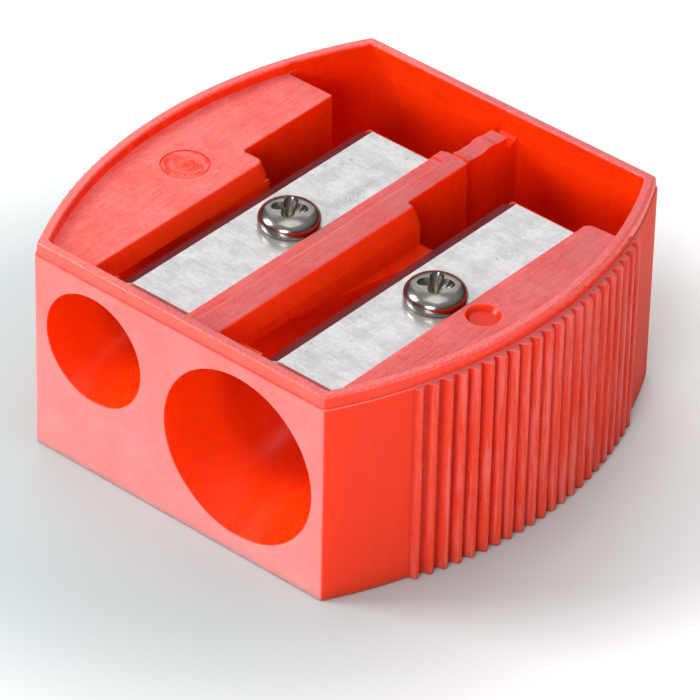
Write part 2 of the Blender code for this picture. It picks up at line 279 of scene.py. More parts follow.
# The same for the jumbo side, whose chute is set back from the slot by a step
def jumboPlan(inset, pocket):
    x, part = edgeX["jumbo"], openings["jumbo"]
    chute = front + part["chuteStart"]
    step = 0.56
    arc = wallArc(deckBack, innerBack + inset, 1, bodyShape["sideWall"] - inset)
    if pocket:
        corners = [(x - part["slotTop"], innerFront), (x + part["pocketWall"], innerFront),
                   (x + part["pocketWall"], deckBack), *arc, (divider["to"], innerBack + inset),
                   (divider["to"], deckBack), (x - part["slotTop"] - step, deckBack),
                   (x - part["slotTop"] - step, chute), (x - part["slotTop"], chute)]
        radii = [0, 0, 0.6, 0.4] + [0] * (len(arc) - 2) + [0.3, 0.12, 0.1, 0.22, 0.2, part["noseRound"]]
        grow = [0, 1, 1] + [0] * (len(arc) - 1) + [0, 0, 1, 1, 1, 1]
        slant = [0] * (len(corners) - 1) + [1]
        return corners, radii, grow, slant
    corners = [(x - part["chuteWidth"] - inset, chute - inset), (x, chute - inset), (x, deckBack - inset),
               *arc, (divider["to"] - inset, innerBack + inset), (divider["to"] - inset, deckBack - inset),
               (x - part["chuteWidth"] - inset, deckBack - inset)]
    radii = [0.2, 0.2, 0.1, 0.2] + [0] * (len(arc) - 2) + [0.3, 0.12, 0.1, 0.1]
    return corners, radii, [1] * len(corners), None


# Upper part of an opening: the slot's wall slants in from the deck to the blade, the other walls are upright
def makePocket(size, plan):
    corners, radii, grow, slant = plan(0.01, True)
    points, moves = roundedOutline(corners, radii, grow)
    slants = roundedOutline(corners, radii, slant)[1]
    part = openings[size]
    lean = part["slotTop"] - part["slotCrease"]
    levels = [(seat, 0.0, -lean)]
    levels += [(height, move, -lean * (deck - height) / (deck - seat))
               for height, move in flare(deck, bodyShape["edgeRound"])]
    levels += [(rimTop + overrun * 2, bodyShape["edgeRound"], 0.0)]
    rings = [np.column_stack([points + moves * move + slants * shift, np.full(len(points), height)])
             for height, move, shift in levels]
    return skinRings(size + "_pocket", np.array(rings))


# Deep part of an opening: chute and well down to the floor, drawn in a little towards it
def makeDeep(size, plan):
    corners, radii, grow = plan(-0.01, False)[:3]
    points, moves = roundedOutline(corners, radii, grow)
    floor, rounding, taper = (bodyShape[k] for k in ("wellFloor", "wellRound", "wellTaper"))
    turn = np.linspace(0, math.pi / 2, 5)
    levels = [(floor + rounding - rounding * math.cos(a), rounding * math.sin(a) - rounding - taper)
              for a in turn]
    levels += [(seat + 0.03, 0.0)]
    return skinRings(size + "_deep", stackedRings(points, moves, levels))


def boxRings(low, high):  # eight corners as two rings
    plan = np.array([(low[0], low[1]), (high[0], low[1]), (high[0], high[1]), (low[0], high[1])], float)
    return stackedRings(plan, np.zeros_like(plan), [(low[2], 0), (high[2], 0)])


# Chip slot: a box from the slanting wall's crease across to the cutting edge
def makeSlot(size):
    x, part = edgeX[size], openings[size]
    low = (x - part["slotCrease"] + 0.01, slotStart, bladePlane - part["slotDepth"])
    return skinRings(size + "_slot", boxRings(low, (x, deckBack + 0.3, seat + 0.02)))


bores = {"standard": {"radius": 3.97, "taper": 23.0}, "jumbo": {"radius": 6.06, "taper": 29.0},
         "leadHole": 0.5, "mouthRound": 0.1, "sides": 96}


# Bore: circles of falling radius, each touching the blade plane at its top, then a lead hole to the well
def makeBore(size):
    radius, lead = bores[size]["radius"], bores["leadHole"]
    length = 2 * radius / math.tan(math.radians(bores[size]["taper"]))
    mouth = bores["mouthRound"]
    turn = np.linspace(math.pi / 2, 0, 6)
    depths = [front - overrun] + list(front + mouth - mouth * np.sin(turn))
    depths += [front + length * (1 - lead / radius)]
    grown = [mouth] + list(mouth - mouth * np.cos(turn)) + [0.0]
    depths = np.array(depths + [deckBack + 0.4])
    radii = np.append(radius * (1 - (np.maximum(depths[:-1], front) - front) / length) + grown, lead)
    centres = bladePlane - np.append(radii[:-1] - grown, lead)
    around = np.linspace(0, 2 * math.pi, bores["sides"], endpoint=False)
    rings = np.stack([edgeX[size] + radii[:, None] * np.sin(around),
                      np.broadcast_to(depths[:, None], (len(depths), len(around))),
                      centres[:, None] + radii[:, None] * np.cos(around)], -1)
    return skinRings(size + "_bore", rings)


circleSides = 48


# Circle: x = radius cos a, y = radius sin a, about a middle
def circlePlan(x, y, radius):
    around = np.linspace(0, 2 * math.pi, circleSides, endpoint=False)
    return np.column_stack([x + radius * np.cos(around), y + radius * np.sin(around)])


# Two circles, one over the other, for a round hole
def discRings(x, y, radius, bottom, top):
    plan = circlePlan(x, y, radius)
    return stackedRings(plan, np.zeros_like(plan), [(bottom, 0), (top, 0)])


# Ejector marks in the decks: the standard one is a ring groove round a low disc, the jumbo one a dish
marks = {"standard": {"x": -11.7, "y": front + 13.6, "radius": 1.57, "depth": 0.035, "groove": 0.15,
                      "deep": 0.13},
         "jumbo": {"x": 12.85, "y": front + 13.9, "radius": 1.15, "floorRadius": 0.86, "depth": 0.3}}


# Ring groove: a small diamond section carried round a circle, so the cutter is a closed ring
def makeGroove(mark, name):
    sides = 64
    around = np.linspace(0, 2 * math.pi, sides, endpoint=False)
    half, deep = mark["groove"] / 2, mark["deep"]
    section = np.array([(-half, 0.05), (-half * 0.5, -deep), (half * 0.5, -deep), (half, 0.05)])
    reach = mark["radius"] + section[None, :, 0]
    across, along = reach * np.cos(around)[:, None], reach * np.sin(around)[:, None]
    points = np.stack([mark["x"] + across, mark["y"] + along,
                       np.broadcast_to(deck + section[None, :, 1], (sides, 4))], -1)
    index = np.arange(sides * 4).reshape(sides, 4)
    ahead, beside = np.roll(index, -1, 0), np.roll(index, -1, 1)
    quads = np.stack([index, beside, np.roll(beside, -1, 0), ahead], -1).reshape(-1, 4)
    return meshObject(name, points.reshape(-1, 3), quads[:, ::-1].tolist())


# Mark: a shallow round dish, whose wall leans outwards where its floor is smaller than its mouth
def makeMark(size):
    mark = marks[size]
    low = mark.get("floorRadius", mark["radius"])
    rings = [np.column_stack([circlePlan(mark["x"], mark["y"], radius), np.full(circleSides, height)])
             for radius, height in ((low, deck - mark["depth"]), (mark["radius"], deck),
                                    (mark["radius"] + 0.05, deck + 0.1))]
    return skinRings(size + "_mark", np.array(rings))


# Cutter over the divider: its underside is the divider's top, three low lumps and then a notch and a gusset
def makeDividerTop():
    count, beside = divider["sections"], 0.2
    depths = np.linspace(deckBack + divider["start"], innerBack - 0.01, count)
    along = (depths - deckBack) / (divider["notch"] - deckBack)
    wave = np.maximum(np.sin(along * divider["waves"] * math.pi + divider["phase"]), 0)
    lumps = divider["lump"] * wave ** divider["lumpPower"] * (along > divider["plainShare"])
    top = deck - divider["drop"] + lumps
    inNotch = np.clip((depths - divider["notch"]) / 0.08, 0, 1)
    gusset = np.clip((depths - innerBack + divider["gusset"]) / 0.3, 0, 1)
    top = top - inNotch * divider["notchDrop"] + gusset * divider["gussetRise"]
    low, high = np.full(count, divider["from"] - beside), np.full(count, divider["to"] + beside)
    over = np.full(count, deck + beside)
    corners = ((low, depths, top), (high, depths, top), (high, depths, over), (low, depths, over))
    rings = np.stack([np.stack(corner, -1) for corner in corners], 1)
    return skinRings("divider_top", rings[:, ::-1])


# Long step in the middle rib's top, along the standard blade
def makeRibStep():
    low = (edgeX["standard"] + ribStep["fromEdge"], innerFront + ribStep["start"], deck - ribStep["drop"])
    return skinRings("rib_step", boxRings(low, (ribStep["to"], ribStep["end"], deck + 0.3)))


screwY = (bladeFront + bladeBack) / 2
screwFromEdge = 4.05
pilotShape = {"radius": 1.3, "bottom": 7.6}


# Body: the outer skin less the recess, the openings, the rib's step and the divider's top, then less each
# side's slot, bore, screw pilot and mark
def makeBody():
    shell = makeBlank()
    cutters = [makeRecess(), makePocket("standard", standardPlan), makePocket("jumbo", jumboPlan),
               makeDividerTop(), makeRibStep(), makeDeep("standard", standardPlan),
               makeDeep("jumbo", jumboPlan), makeGroove(marks["standard"], "standard_groove")]
    radius, bottom = pilotShape["radius"], pilotShape["bottom"]
    for size in ("standard", "jumbo"):
        pilot = discRings(edgeX[size] + screwFromEdge, screwY, radius, bottom, seat + 0.3)
        cutters += [makeSlot(size), makeBore(size), skinRings(size + "_pilot", pilot), makeMark(size)]
    cutAway(shell, cutters)
    smoothByAngle(shell, 34)
    return shell


bladeShape = {"bevel": 1.14, "edgeRound": 0.025, "hole": 1.4}


# Blade: one cross-section carried along the blade's length
def makeBlade(size):
    low, high = bladeBoxes[size]
    r = bladeShape["edgeRound"]
    section = np.array([(low[0], low[2]), (high[0] - r, low[2]), (high[0], low[2] + r),
                        (high[0], high[2] - r), (high[0] - r, high[2]),
                        (low[0] + bladeShape["bevel"], high[2]),
                        (low[0] + 0.03, low[2] + 0.03)])[::-1]
    rings = [np.column_stack([section[:, 0], np.full(len(section), depth), section[:, 1]])
             for depth in (low[1], high[1])]
    blade = skinRings(size + "_blade_steel", np.array(rings))
    hole = discRings(low[0] + screwFromEdge, screwY, bladeShape["hole"], low[2] - overrun, high[2] + overrun)
    cutAway(blade, [skinRings("hole", hole)])
    smoothByAngle(blade, 20)
    return blade


screwShape = {"shank": 1.1, "length": 6.2, "head": 2.05, "height": 1.33, "waist": 0.34, "under": 0.17,
              "fullness": 2.45, "sides": 96, "seatGap": 0.02,
              "recess": 1.23, "hub": 0.60, "lobe": 1.15, "recessDepth": 0.95,
              "turned": {"standard": 32, "jumbo": 34}}


# Screw: a profile of radius against height, turned about its axis. Over the waist the head is a superellipse,
# (radius / head) ^ n + (rise / crown) ^ n = 1, and under it a smaller quarter circle down to the seat.
def makeScrew(size):
    head, height, waist, under = (screwShape[k] for k in ("head", "height", "waist", "under"))
    shank, length, sides = (screwShape[k] for k in ("shank", "length", "sides"))
    seatZ = bladeTop + screwShape["seatGap"]
    turn = np.linspace(0, math.pi / 2, 15)
    power = 2 / screwShape["fullness"]
    lower = [(head - under + under * math.sin(a), waist - waist * math.cos(a)) for a in turn[:-1:2]]
    upper = [(head * math.cos(a) ** power, waist + (height - waist) * math.sin(a) ** power)
             for a in turn[:-1]]
    profile = [(0.02, -length), (shank * 0.5, -length), (shank, -length + shank), (shank, -0.02)]
    profile = np.array(profile + lower + upper + [(0.02, height)])
    around = np.linspace(0, 2 * math.pi, sides, endpoint=False)
    x, y = edgeX[size] + screwFromEdge, screwY
    rings = np.stack([x + profile[:, :1] * np.cos(around), y + profile[:, :1] * np.sin(around),
                      np.broadcast_to(seatZ + profile[:, 1:], (len(profile), len(around)))], -1)
    screw = skinRings(size + "_blade_screw_nickel", rings)
    cutAway(screw, [makeCross(x, y, seatZ + height, size)])
    smoothByAngle(screw, 32)
    return screw


# Cross recess: radius = hub + lobe * |cos 2a| ^ p is four rounded arms, and it shrinks on the way down
def makeCross(x, y, top, size):
    around = np.linspace(0, 2 * math.pi, screwShape["sides"], endpoint=False)
    turned = math.radians(screwShape["turned"][size])
    arms = np.abs(np.cos(2 * (around - turned))) ** screwShape["lobe"]
    hub, reach = screwShape["hub"], screwShape["recess"] - screwShape["hub"]
    rings = []
    # height under the head's top, share of the hub, share of the arms
    for height, share, spread in ((-screwShape["recessDepth"], 0.3, 0.12), (-0.75, 0.62, 0.45),
                                  (-0.3, 0.9, 0.86), (-0.06, 1.0, 1.0), (0.04, 1.09, 1.06), (0.5, 1.3, 1.2)):
        radius = hub * share + reach * spread * arms
        rings.append(np.column_stack([x + radius * np.cos(around), y + radius * np.sin(around),
                                      np.full(len(around), top + height)]))
    return skinRings("cross", np.array(rings))


# Node shorthand: a node of a kind with its settings
def addNode(tree, kind, **settings):
    node = tree.nodes.new(kind)
    for key, value in settings.items():
        setattr(node, key, value)
    return node


# Put a value on a socket, or link another socket to it
def feed(tree, socket, value):
    if hasattr(value, "is_output"):
        tree.links.new(value, socket)
    else:
        socket.default_value = value


# One sum worked out over the surface; its values are numbers or other sockets
def calc(tree, operation, *values, clamp=False):
    node = addNode(tree, "ShaderNodeMath", operation=operation, use_clamp=clamp)
    for socket, value in zip(node.inputs, values):
        feed(tree, socket, value)
    return node.outputs[0]


def times(tree, *values, **settings):
    return calc(tree, "MULTIPLY", *values, **settings)


def plus(tree, *values, **settings):
    return calc(tree, "ADD", *values, **settings)


def minus(tree, *values, **settings):
    return calc(tree, "SUBTRACT", *values, **settings)


def larger(tree, *values, **settings):
    return calc(tree, "MAXIMUM", *values, **settings)


def vectorCalc(tree, operation, first, second):
    node = addNode(tree, "ShaderNodeVectorMath", operation=operation)
    feed(tree, node.inputs[0], first)
    feed(tree, node.inputs[3 if operation == "SCALE" else 1], second)
    return node.outputs[1 if operation == "LENGTH" else 0]


def lengthOf(tree, value):  # the second vector is not used by a length
    return vectorCalc(tree, "LENGTH", value, (0.0, 0.0, 0.0))


def ramped(tree, value, low, high, bottom=0.0, top=1.0):  # value from low to high eased over to bottom..top
    node = addNode(tree, "ShaderNodeMapRange", interpolation_type="SMOOTHSTEP")
    for socket, number in zip(node.inputs, (value, low, high, bottom, top)):
        feed(tree, socket, number)
    return node.outputs[0]


# Noise: layers that each have twice the scale of the last, weighed down by the roughness
def noise(tree, place, scale, detail=3.0, roughness=0.5):
    node = addNode(tree, "ShaderNodeTexNoise")
    for key, value in (("Vector", place), ("Scale", scale), ("Detail", detail), ("Roughness", roughness)):
        feed(tree, node.inputs[key], value)
    return node.outputs[0]


# Colour: first * (1 - share) + second * share
def mixed(tree, share, first, second):
    node = addNode(tree, "ShaderNodeMix", data_type="RGBA")
    for socket, value in ((0, share), (6, first), (7, second)):
        feed(tree, node.inputs[socket], value)
    return node.outputs[2]


# Shared group with its named inputs and outputs; the maker gets the group's tree and its input sockets
def makeGroup(name, inputs, outputs, fill):
    tree = bpy.data.node_groups.new(name, "ShaderNodeTree")
    for label, kind, value in inputs:
        socket = tree.interface.new_socket(name=label, in_out="INPUT", socket_type=kind)
        if value is not None:
            socket.default_value = value
    for label in outputs:
        tree.interface.new_socket(name=label, in_out="OUTPUT", socket_type="NodeSocketFloat")
    entry, leave = addNode(tree, "NodeGroupInput"), addNode(tree, "NodeGroupOutput")
    for label, result in fill(tree, entry.outputs).items():
        tree.links.new(result, leave.inputs[label])
    return tree


# A shared group's mask, made with this material's own values
def useGroup(tree, group, **values):
    node = addNode(tree, "ShaderNodeGroup", node_tree=group)
    for key, value in values.items():
        feed(tree, node.inputs[key], value)
    return node.outputs["Mask"]


number, vector = "NodeSocketFloat", "NodeSocketVector"


# Streaks: noise squeezed along one direction, so that its grains run out into lines
def fillStreaks(tree, entry):
    squeezed = vectorCalc(tree, "MULTIPLY", entry["Place"], entry["Squeeze"])
    grain = noise(tree, squeezed, entry["Scale"], 4.0, 0.6)
    return {"Mask": ramped(tree, grain, entry["Low"], entry["High"])}


# Scratches: thin lines where a stretched noise crosses its middle value, kept only in patches
def fillScratches(tree, entry):
    lines = []
    for squeeze, shift in (((1.0, 0.14, 1.0), 3.1), ((0.2, 0.9, 0.6), 17.7)):
        shifted = vectorCalc(tree, "ADD", entry["Place"], (shift, shift, shift))
        squeezed = vectorCalc(tree, "MULTIPLY", shifted, squeeze)
        off = calc(tree, "ABSOLUTE", minus(tree, noise(tree, squeezed, entry["Scale"], 1.5), 0.5))
        lines.append(ramped(tree, off, 0.0, entry["Width"], 1.0, 0.0))
    patches = ramped(tree, noise(tree, entry["Place"], times(tree, entry["Scale"], 0.8)), 0.5, 0.66)
    return {"Mask": times(tree, larger(tree, *lines), patches)}


# Specks: small dots at the middles of scattered cells, with only some cells kept
def fillSpecks(tree, entry):
    cells = addNode(tree, "ShaderNodeTexVoronoi")
    feed(tree, cells.inputs["Vector"], entry["Place"])
    feed(tree, cells.inputs["Scale"], entry["Scale"])
    pick = addNode(tree, "ShaderNodeSeparateColor")
    tree.links.new(cells.outputs["Color"], pick.inputs[0])
    size = times(tree, entry["Size"], plus(tree, pick.outputs[1], 0.3))
    dot = ramped(tree, cells.outputs["Distance"], times(tree, size, 0.5), size, 1.0, 0.0)
    return {"Mask": times(tree, dot, calc(tree, "LESS_THAN", pick.outputs[0], entry["Share"]))}


# Clouds: a broad noise and a finer one, weighed together
def fillClouds(tree, entry):
    broad = noise(tree, entry["Place"], entry["Scale"], 2.0)
    fine = noise(tree, entry["Place"], times(tree, entry["Scale"], 5.0), 4.0, 0.65)
    both = plus(tree, times(tree, broad, 0.55), times(tree, fine, 0.45))
    return {"Mask": ramped(tree, both, entry["Low"], entry["High"])}


streaks = makeGroup("surface_streaks", [("Place", vector, None), ("Squeeze", vector, (1, 1, 1)),
                                        ("Scale", number, 1.0), ("Low", number, 0.35),
                                        ("High", number, 0.65)], ["Mask"], fillStreaks)
scratches = makeGroup("fine_scratches", [("Place", vector, None), ("Scale", number, 1.0),
                                         ("Width", number, 0.01)], ["Mask"], fillScratches)
specks = makeGroup("scattered_specks", [("Place", vector, None), ("Scale", number, 1.0),
                                        ("Size", number, 0.2), ("Share", number, 0.3)], ["Mask"], fillSpecks)
clouds = makeGroup("cloudy_mottle", [("Place", vector, None), ("Scale", number, 1.0), ("Low", number, 0.35),
                                     ("High", number, 0.65)], ["Mask"], fillClouds)


# Material with its place on the piece in millimetres and the direction its surface faces
def newMaterial(name, **sockets):
    material = bpy.data.materials.new(name)
    material.use_nodes = True
    tree = material.node_tree
    shader = tree.nodes["Principled BSDF"]
    for key, value in sockets.items():
        shader.inputs[key.replace("_", " ")].default_value = value
    where = addNode(tree, "ShaderNodeTexCoord")
    place = vectorCalc(tree, "SCALE", where.outputs["Object"], 1 / mm)
    facing = addNode(tree, "ShaderNodeSeparateXYZ")
    tree.links.new(where.outputs["Normal"], facing.inputs[0])
    return material, tree, shader, place, facing.outputs


def addBump(tree, shader, height, distance, strength=1.0):
    bump = addNode(tree, "ShaderNodeBump")
    bump.inputs["Distance"].default_value, bump.inputs["Strength"].default_value = distance * mm, strength
    tree.links.new(height, bump.inputs["Height"])
    tree.links.new(bump.outputs[0], shader.inputs["Normal"])


# clear is the plastic's own red and deep its painted shade; the pale colour is chalky skin with painted
# sheen, the darker pale one its painted shade
plasticLook = {
    "clear": (0.88, 0.038, 0.0012, 1), "deep": (0.52, 0.007, 0.0006, 1), "chalkySheen": (0.90, 0.37, 0.38, 1),
    "shadedChalky": (0.54, 0.27, 0.285, 1),
    "topChalkAndSheen": 0.36, "frontSheen": 0.58, "sideSheen": 0.04, "crestHighlight": 0.13, "rimHighlight": 0.34,
    "partingHighlight": 0.5, "subsurface": 0.8, "depth": 0.0026,
    # how much each pattern adds to the deck's skin, and how much painted shade darkens the tops towards the
    # rib and the back, less to the right
    "lines": 0.30, "patches": 0.46, "grains": 1.4, "even": 0.52, "cuts": 0.12, "pits": 0.6, "swirl": 0.75,
    "ribShade": 0.95, "rightShade": 0.4, "backShade": 0.35,
}


# Translucent red plastic. Its tool-marked top and front faces are pale, partly a chalky skin and partly
# painted sheen, and the walls inside, which came off a polished core, stay clear red, with painted shade deep
# down in them.
def makePlastic():
    material, tree, shader, place, facing = newMaterial(
        "red_translucent_plastic", Subsurface_Weight=plasticLook["subsurface"],
        Subsurface_Radius=(1.0, 0.10, 0.04), Subsurface_Scale=plasticLook["depth"], Specular_IOR_Level=0.13,
        Coat_Roughness=0.14, Coat_IOR=1.5)
    parts = addNode(tree, "ShaderNodeSeparateXYZ")
    tree.links.new(place, parts.inputs[0])
    x, y, z = parts.outputs
    lines = useGroup(tree, streaks, Place=place, Squeeze=(2.4, 0.17, 1.0), Scale=2.3, Low=0.34, High=0.66)
    uprights = useGroup(tree, streaks, Place=place, Squeeze=(1.2, 1.2, 0.12), Scale=1.2, Low=0.3, High=0.7)
    crestStreaks = useGroup(tree, streaks, Place=place, Squeeze=(0.25, 1.0, 0.035), Scale=5.0, Low=0.42, High=0.62)
    patches = useGroup(tree, clouds, Place=place, Scale=0.32, Low=0.36, High=0.64)
    grains = noise(tree, place, 7.0, 3.0, 0.7)
    cuts = useGroup(tree, scratches, Place=place, Scale=0.55, Width=0.012)
    pits = useGroup(tree, specks, Place=place, Scale=0.9, Size=0.13, Share=0.26)

    # Where the surface is: the decks and rim, the divider behind them, the front, and out on the ribbed sides
    onDeck = ramped(tree, z, deck - 0.28, deck - 0.2)
    nearTop = ramped(tree, z, deck - 0.75, deck - 0.6)
    onDivider = times(tree, nearTop, ramped(tree, y, deckBack, deckBack + 0.3))
    onTop = times(tree, ramped(tree, facing[2], 0.78, 0.96), larger(tree, onDeck, onDivider))
    onFront = times(tree, ramped(tree, facing[1], -0.75, -0.95), ramped(tree, y, front + 0.4, front + 0.2))
    sideways = addNode(tree, "ShaderNodeCombineXYZ")
    tree.links.new(minus(tree, calc(tree, "ABSOLUTE", x), float(sideCentre)), sideways.inputs[0])
    tree.links.new(y, sideways.inputs[1])
    reach = minus(tree, lengthOf(tree, sideways.outputs[0]), float(sideRadius))
    # Painted sheen on the ribbed sides, and painted highlights along the rib crests, broken by upright
    # streaks
    sideSheenMask = times(tree, ramped(tree, reach, -0.35, -0.15), plasticLook["sideSheen"])
    crests = times(tree, ramped(tree, reach, 0.10, 0.45), plasticLook["crestHighlight"])
    crests = times(tree, crests, ramped(tree, crestStreaks, 0.0, 1.0, 0.12, 1.7))
    # Painted shade in the valleys between the ribs
    valleyShade = times(tree, ramped(tree, reach, 0.45, 0.0), ramped(tree, reach, -0.1, 0.02))
    ribbed = calc(tree, "LESS_THAN", calc(tree, "ABSOLUTE", plus(tree, y, -0.15)), 10.9)
    inside = times(tree, ramped(tree, reach, -0.4, -0.6), ramped(tree, y, front + 3.0, front + 5.0))

    look = plasticLook
    uneven = plus(tree, times(tree, lines, look["lines"]), times(tree, patches, look["patches"]))
    uneven = plus(tree, uneven, times(tree, minus(tree, grains, 0.5), look["grains"]))
    fromMark = vectorCalc(tree, "SUBTRACT", place, (marks["standard"]["x"], marks["standard"]["y"], deck))
    markReach = lengthOf(tree, fromMark)
    curl = addNode(tree, "ShaderNodeCombineXYZ")
    tree.links.new(markReach, curl.inputs[0])
    tree.links.new(times(tree, x, 0.4), curl.inputs[1])
    tree.links.new(times(tree, y, 0.4), curl.inputs[2])
    swirl = useGroup(tree, streaks, Place=curl.outputs[0], Squeeze=(1, 1, 1), Scale=2.6, Low=0.4, High=0.6)
    swirl = times(tree, swirl, ramped(tree, markReach, 1.52, 1.42))
    uneven = minus(tree, uneven, times(tree, swirl, look["swirl"]))
    # Tops: a chalky tool-marked skin with painted sheen over it, scratched and pitted
    topChalkAndSheen = times(tree, plus(tree, uneven, look["even"]), times(tree, onTop, look["topChalkAndSheen"]))
    topChalkAndSheen = plus(tree, topChalkAndSheen, times(tree, times(tree, cuts, onTop), look["cuts"]))
    topChalkAndSheen = times(tree, topChalkAndSheen, minus(tree, 1.0, times(tree, pits, look["pits"])))
    # Painted sheen on the front face, stronger low down and weaker above the parting line
    frontSheen = plus(tree, times(tree, patches, 0.20), times(tree, grains, 0.16))
    frontSheen = plus(tree, frontSheen, ramped(tree, z, 0.0, 15.0, 0.95, 0.66))
    parting = rimTop - bodyShape["partingDrop"]
    frontSheen = times(tree, frontSheen, ramped(tree, z, parting - 0.02, parting + 0.03, 1.0, 0.45))
    frontSheen = times(tree, frontSheen, times(tree, onFront, plasticLook["frontSheen"]))
    # Painted highlight with glints along the rim's rounded top edge
    rimGlints = times(tree, ramped(tree, grains, 0.42, 0.62, 0.55, 1.5), plasticLook["rimHighlight"])
    edges = times(tree, rimGlints, ramped(tree, z, rimTop - 0.22, rimTop - 0.08))
    # Painted highlight line along the parting ledge
    fromParting = calc(tree, "ABSOLUTE", minus(tree, z, parting + 0.03))
    outer = larger(tree, onFront, ramped(tree, reach, -0.35, -0.15))
    partingHighlightMask = times(tree, ramped(tree, fromParting, 0.02, 0.07, plasticLook["partingHighlight"], 0.0), outer)
    # Pale share of the surface: chalky skin, painted sheen and painted highlights together
    chalkAndSheen = larger(tree, topChalkAndSheen, larger(tree, frontSheen, plus(tree, sideSheenMask, crests)))
    chalkAndSheen = larger(tree, chalkAndSheen, larger(tree, edges, partingHighlightMask), clamp=True)

    # Painted shade: darker low down in the wells, in the rib valleys, across the tops towards the middle and
    # the back, and in the jumbo dish; the lines and upright streaks add their own tone
    wellShade = times(tree, inside, ramped(tree, z, 14.3, 11.0, 0.0, 0.60))
    dark = larger(tree, wellShade, times(tree, times(tree, valleyShade, ribbed), 0.55))
    topShadeAndLines = plus(tree, ramped(tree, x, -9.0, -1.0, 0.12, 0.66), ramped(tree, lines, 0.0, 1.0, 0.20, 0.0))
    topShadeAndLines = plus(tree, topShadeAndLines, ramped(tree, y, -6.0, 9.0, 0.0, 0.16))
    dark = larger(tree, dark, times(tree, topShadeAndLines, onTop))
    fromDish = vectorCalc(tree, "SUBTRACT", place, (marks["jumbo"]["x"], marks["jumbo"]["y"], deck - 0.3))
    dishShade = ramped(tree, lengthOf(tree, fromDish), 1.2, 0.9)
    dark = larger(tree, dark, times(tree, dishShade, 0.62))
    dark = plus(tree, dark, times(tree, uprights, 0.10), clamp=True)
    # Clear red, turned to the deep red where painted shade falls
    clear = mixed(tree, dark, plasticLook["clear"], plasticLook["deep"])
    # Painted shade on the tops' pale skin: heavier towards the middle rib and the back, lighter to the right
    fromLeft = ramped(tree, x, -9.0, -2.0, 0.0, look["ribShade"])
    topShade = minus(tree, fromLeft, ramped(tree, x, 4.0, 10.0, 0.0, look["rightShade"]))
    topShade = plus(tree, topShade, ramped(tree, y, 0.0, 9.0, 0.0, look["backShade"]), clamp=True)
    skin = mixed(tree, times(tree, topShade, onTop), plasticLook["chalkySheen"], plasticLook["shadedChalky"])
    tree.links.new(mixed(tree, chalkAndSheen, clear, skin), shader.inputs["Base Color"])
    rough = plus(tree, times(tree, chalkAndSheen, 0.30), times(tree, patches, 0.06))
    gloss = times(tree, times(tree, ramped(tree, reach, 0.04, 0.3), ribbed), 0.2)
    gloss = larger(tree, gloss, ramped(tree, z, rimTop - 0.9, rimTop - 0.5, 0.0, 0.55))
    gloss = larger(tree, gloss, times(tree, inside, 0.16))
    flank = times(tree, ramped(tree, reach, -0.35, -0.15), minus(tree, 1.0, ribbed))
    rough = plus(tree, rough, times(tree, flank, 0.3))
    gloss = times(tree, gloss, ramped(tree, patches, 0.0, 1.0, 1.0, 0.6))
    tree.links.new(gloss, shader.inputs["Coat Weight"])
    tree.links.new(plus(tree, rough, 0.24), shader.inputs["Roughness"])
    relief = plus(tree, times(tree, times(tree, lines, onTop), 0.4),
                  times(tree, grains, ramped(tree, onTop, 0.0, 1.0, 0.12, 0.6)))
    relief = minus(tree, relief, times(tree, plus(tree, cuts, pits), onTop))
    addBump(tree, shader, relief, 0.02, 0.7)
    return material


steelLook = {"bright": (0.66, 0.65, 0.645, 1), "dull": (0.40, 0.395, 0.40, 1), "speck": (0.10, 0.10, 0.11, 1),
             "bevel": (0.13, 0.10, 0.12, 1), "smudge": (-2.1, 2.5, 14.2)}


# Blade steel: a matt ground face with clouds, cross grinding lines and dark specks; the bevel is polished,
# and painted dark for the dark red reflection it shows
def makeSteel():
    material, tree, shader, place, facing = newMaterial("blade_steel")
    ground = useGroup(tree, streaks, Place=place, Squeeze=(0.3, 3.2, 1.0), Scale=1.6, Low=0.3, High=0.7)
    mottle = useGroup(tree, clouds, Place=place, Scale=0.7, Low=0.36, High=0.62)
    grains = noise(tree, place, 11.0, 3.0, 0.7)
    dots = useGroup(tree, specks, Place=place, Scale=2.2, Size=0.15, Share=0.2)
    stains = useGroup(tree, specks, Place=place, Scale=0.62, Size=0.10, Share=0.45)
    cuts = useGroup(tree, scratches, Place=place, Scale=0.7, Width=0.01)
    bevel = ramped(tree, times(tree, facing[0], -1.0), 0.15, 0.4)

    dull = plus(tree, times(tree, mottle, 0.5), times(tree, ground, 0.28))
    dull = plus(tree, dull, times(tree, minus(tree, grains, 0.5), 1.3), clamp=True)
    colour = mixed(tree, dull, steelLook["bright"], steelLook["dull"])
    dirt = larger(tree, times(tree, dots, 0.7), times(tree, stains, 0.6))
    fromSmudge = vectorCalc(tree, "SUBTRACT", place, steelLook["smudge"])
    rubbing = vectorCalc(tree, "MULTIPLY", fromSmudge, (1.5, 0.3, 0.3))
    smudge = ramped(tree, lengthOf(tree, rubbing), 0.3, 1.1, 1.0, 0.0)
    smudge = times(tree, smudge, ramped(tree, grains, 0.46, 0.62, 0.05, 0.62))
    dirt = larger(tree, dirt, smudge)
    colour = mixed(tree, larger(tree, dirt, times(tree, cuts, 0.25)), colour, steelLook["speck"])
    # The bevel's dark colour is a painted reflection of the dark red slot
    tree.links.new(mixed(tree, bevel, colour, steelLook["bevel"]), shader.inputs["Base Color"])
    tree.links.new(ramped(tree, bevel, 0.0, 1.0, 0.55, 0.8), shader.inputs["Metallic"])
    rough = plus(tree, times(tree, dull, 0.13), 0.17)
    tree.links.new(rough, shader.inputs["Roughness"])
    relief = minus(tree, plus(tree, grains, times(tree, ground, 0.6)), dots)
    addBump(tree, shader, relief, 0.006, 0.6)
    return material


nickelLook = {"polished": (0.34, 0.32, 0.30, 1), "worn": (0.21, 0.195, 0.18, 1),
              "grimeAndShade": (0.17, 0.125, 0.07, 1)}
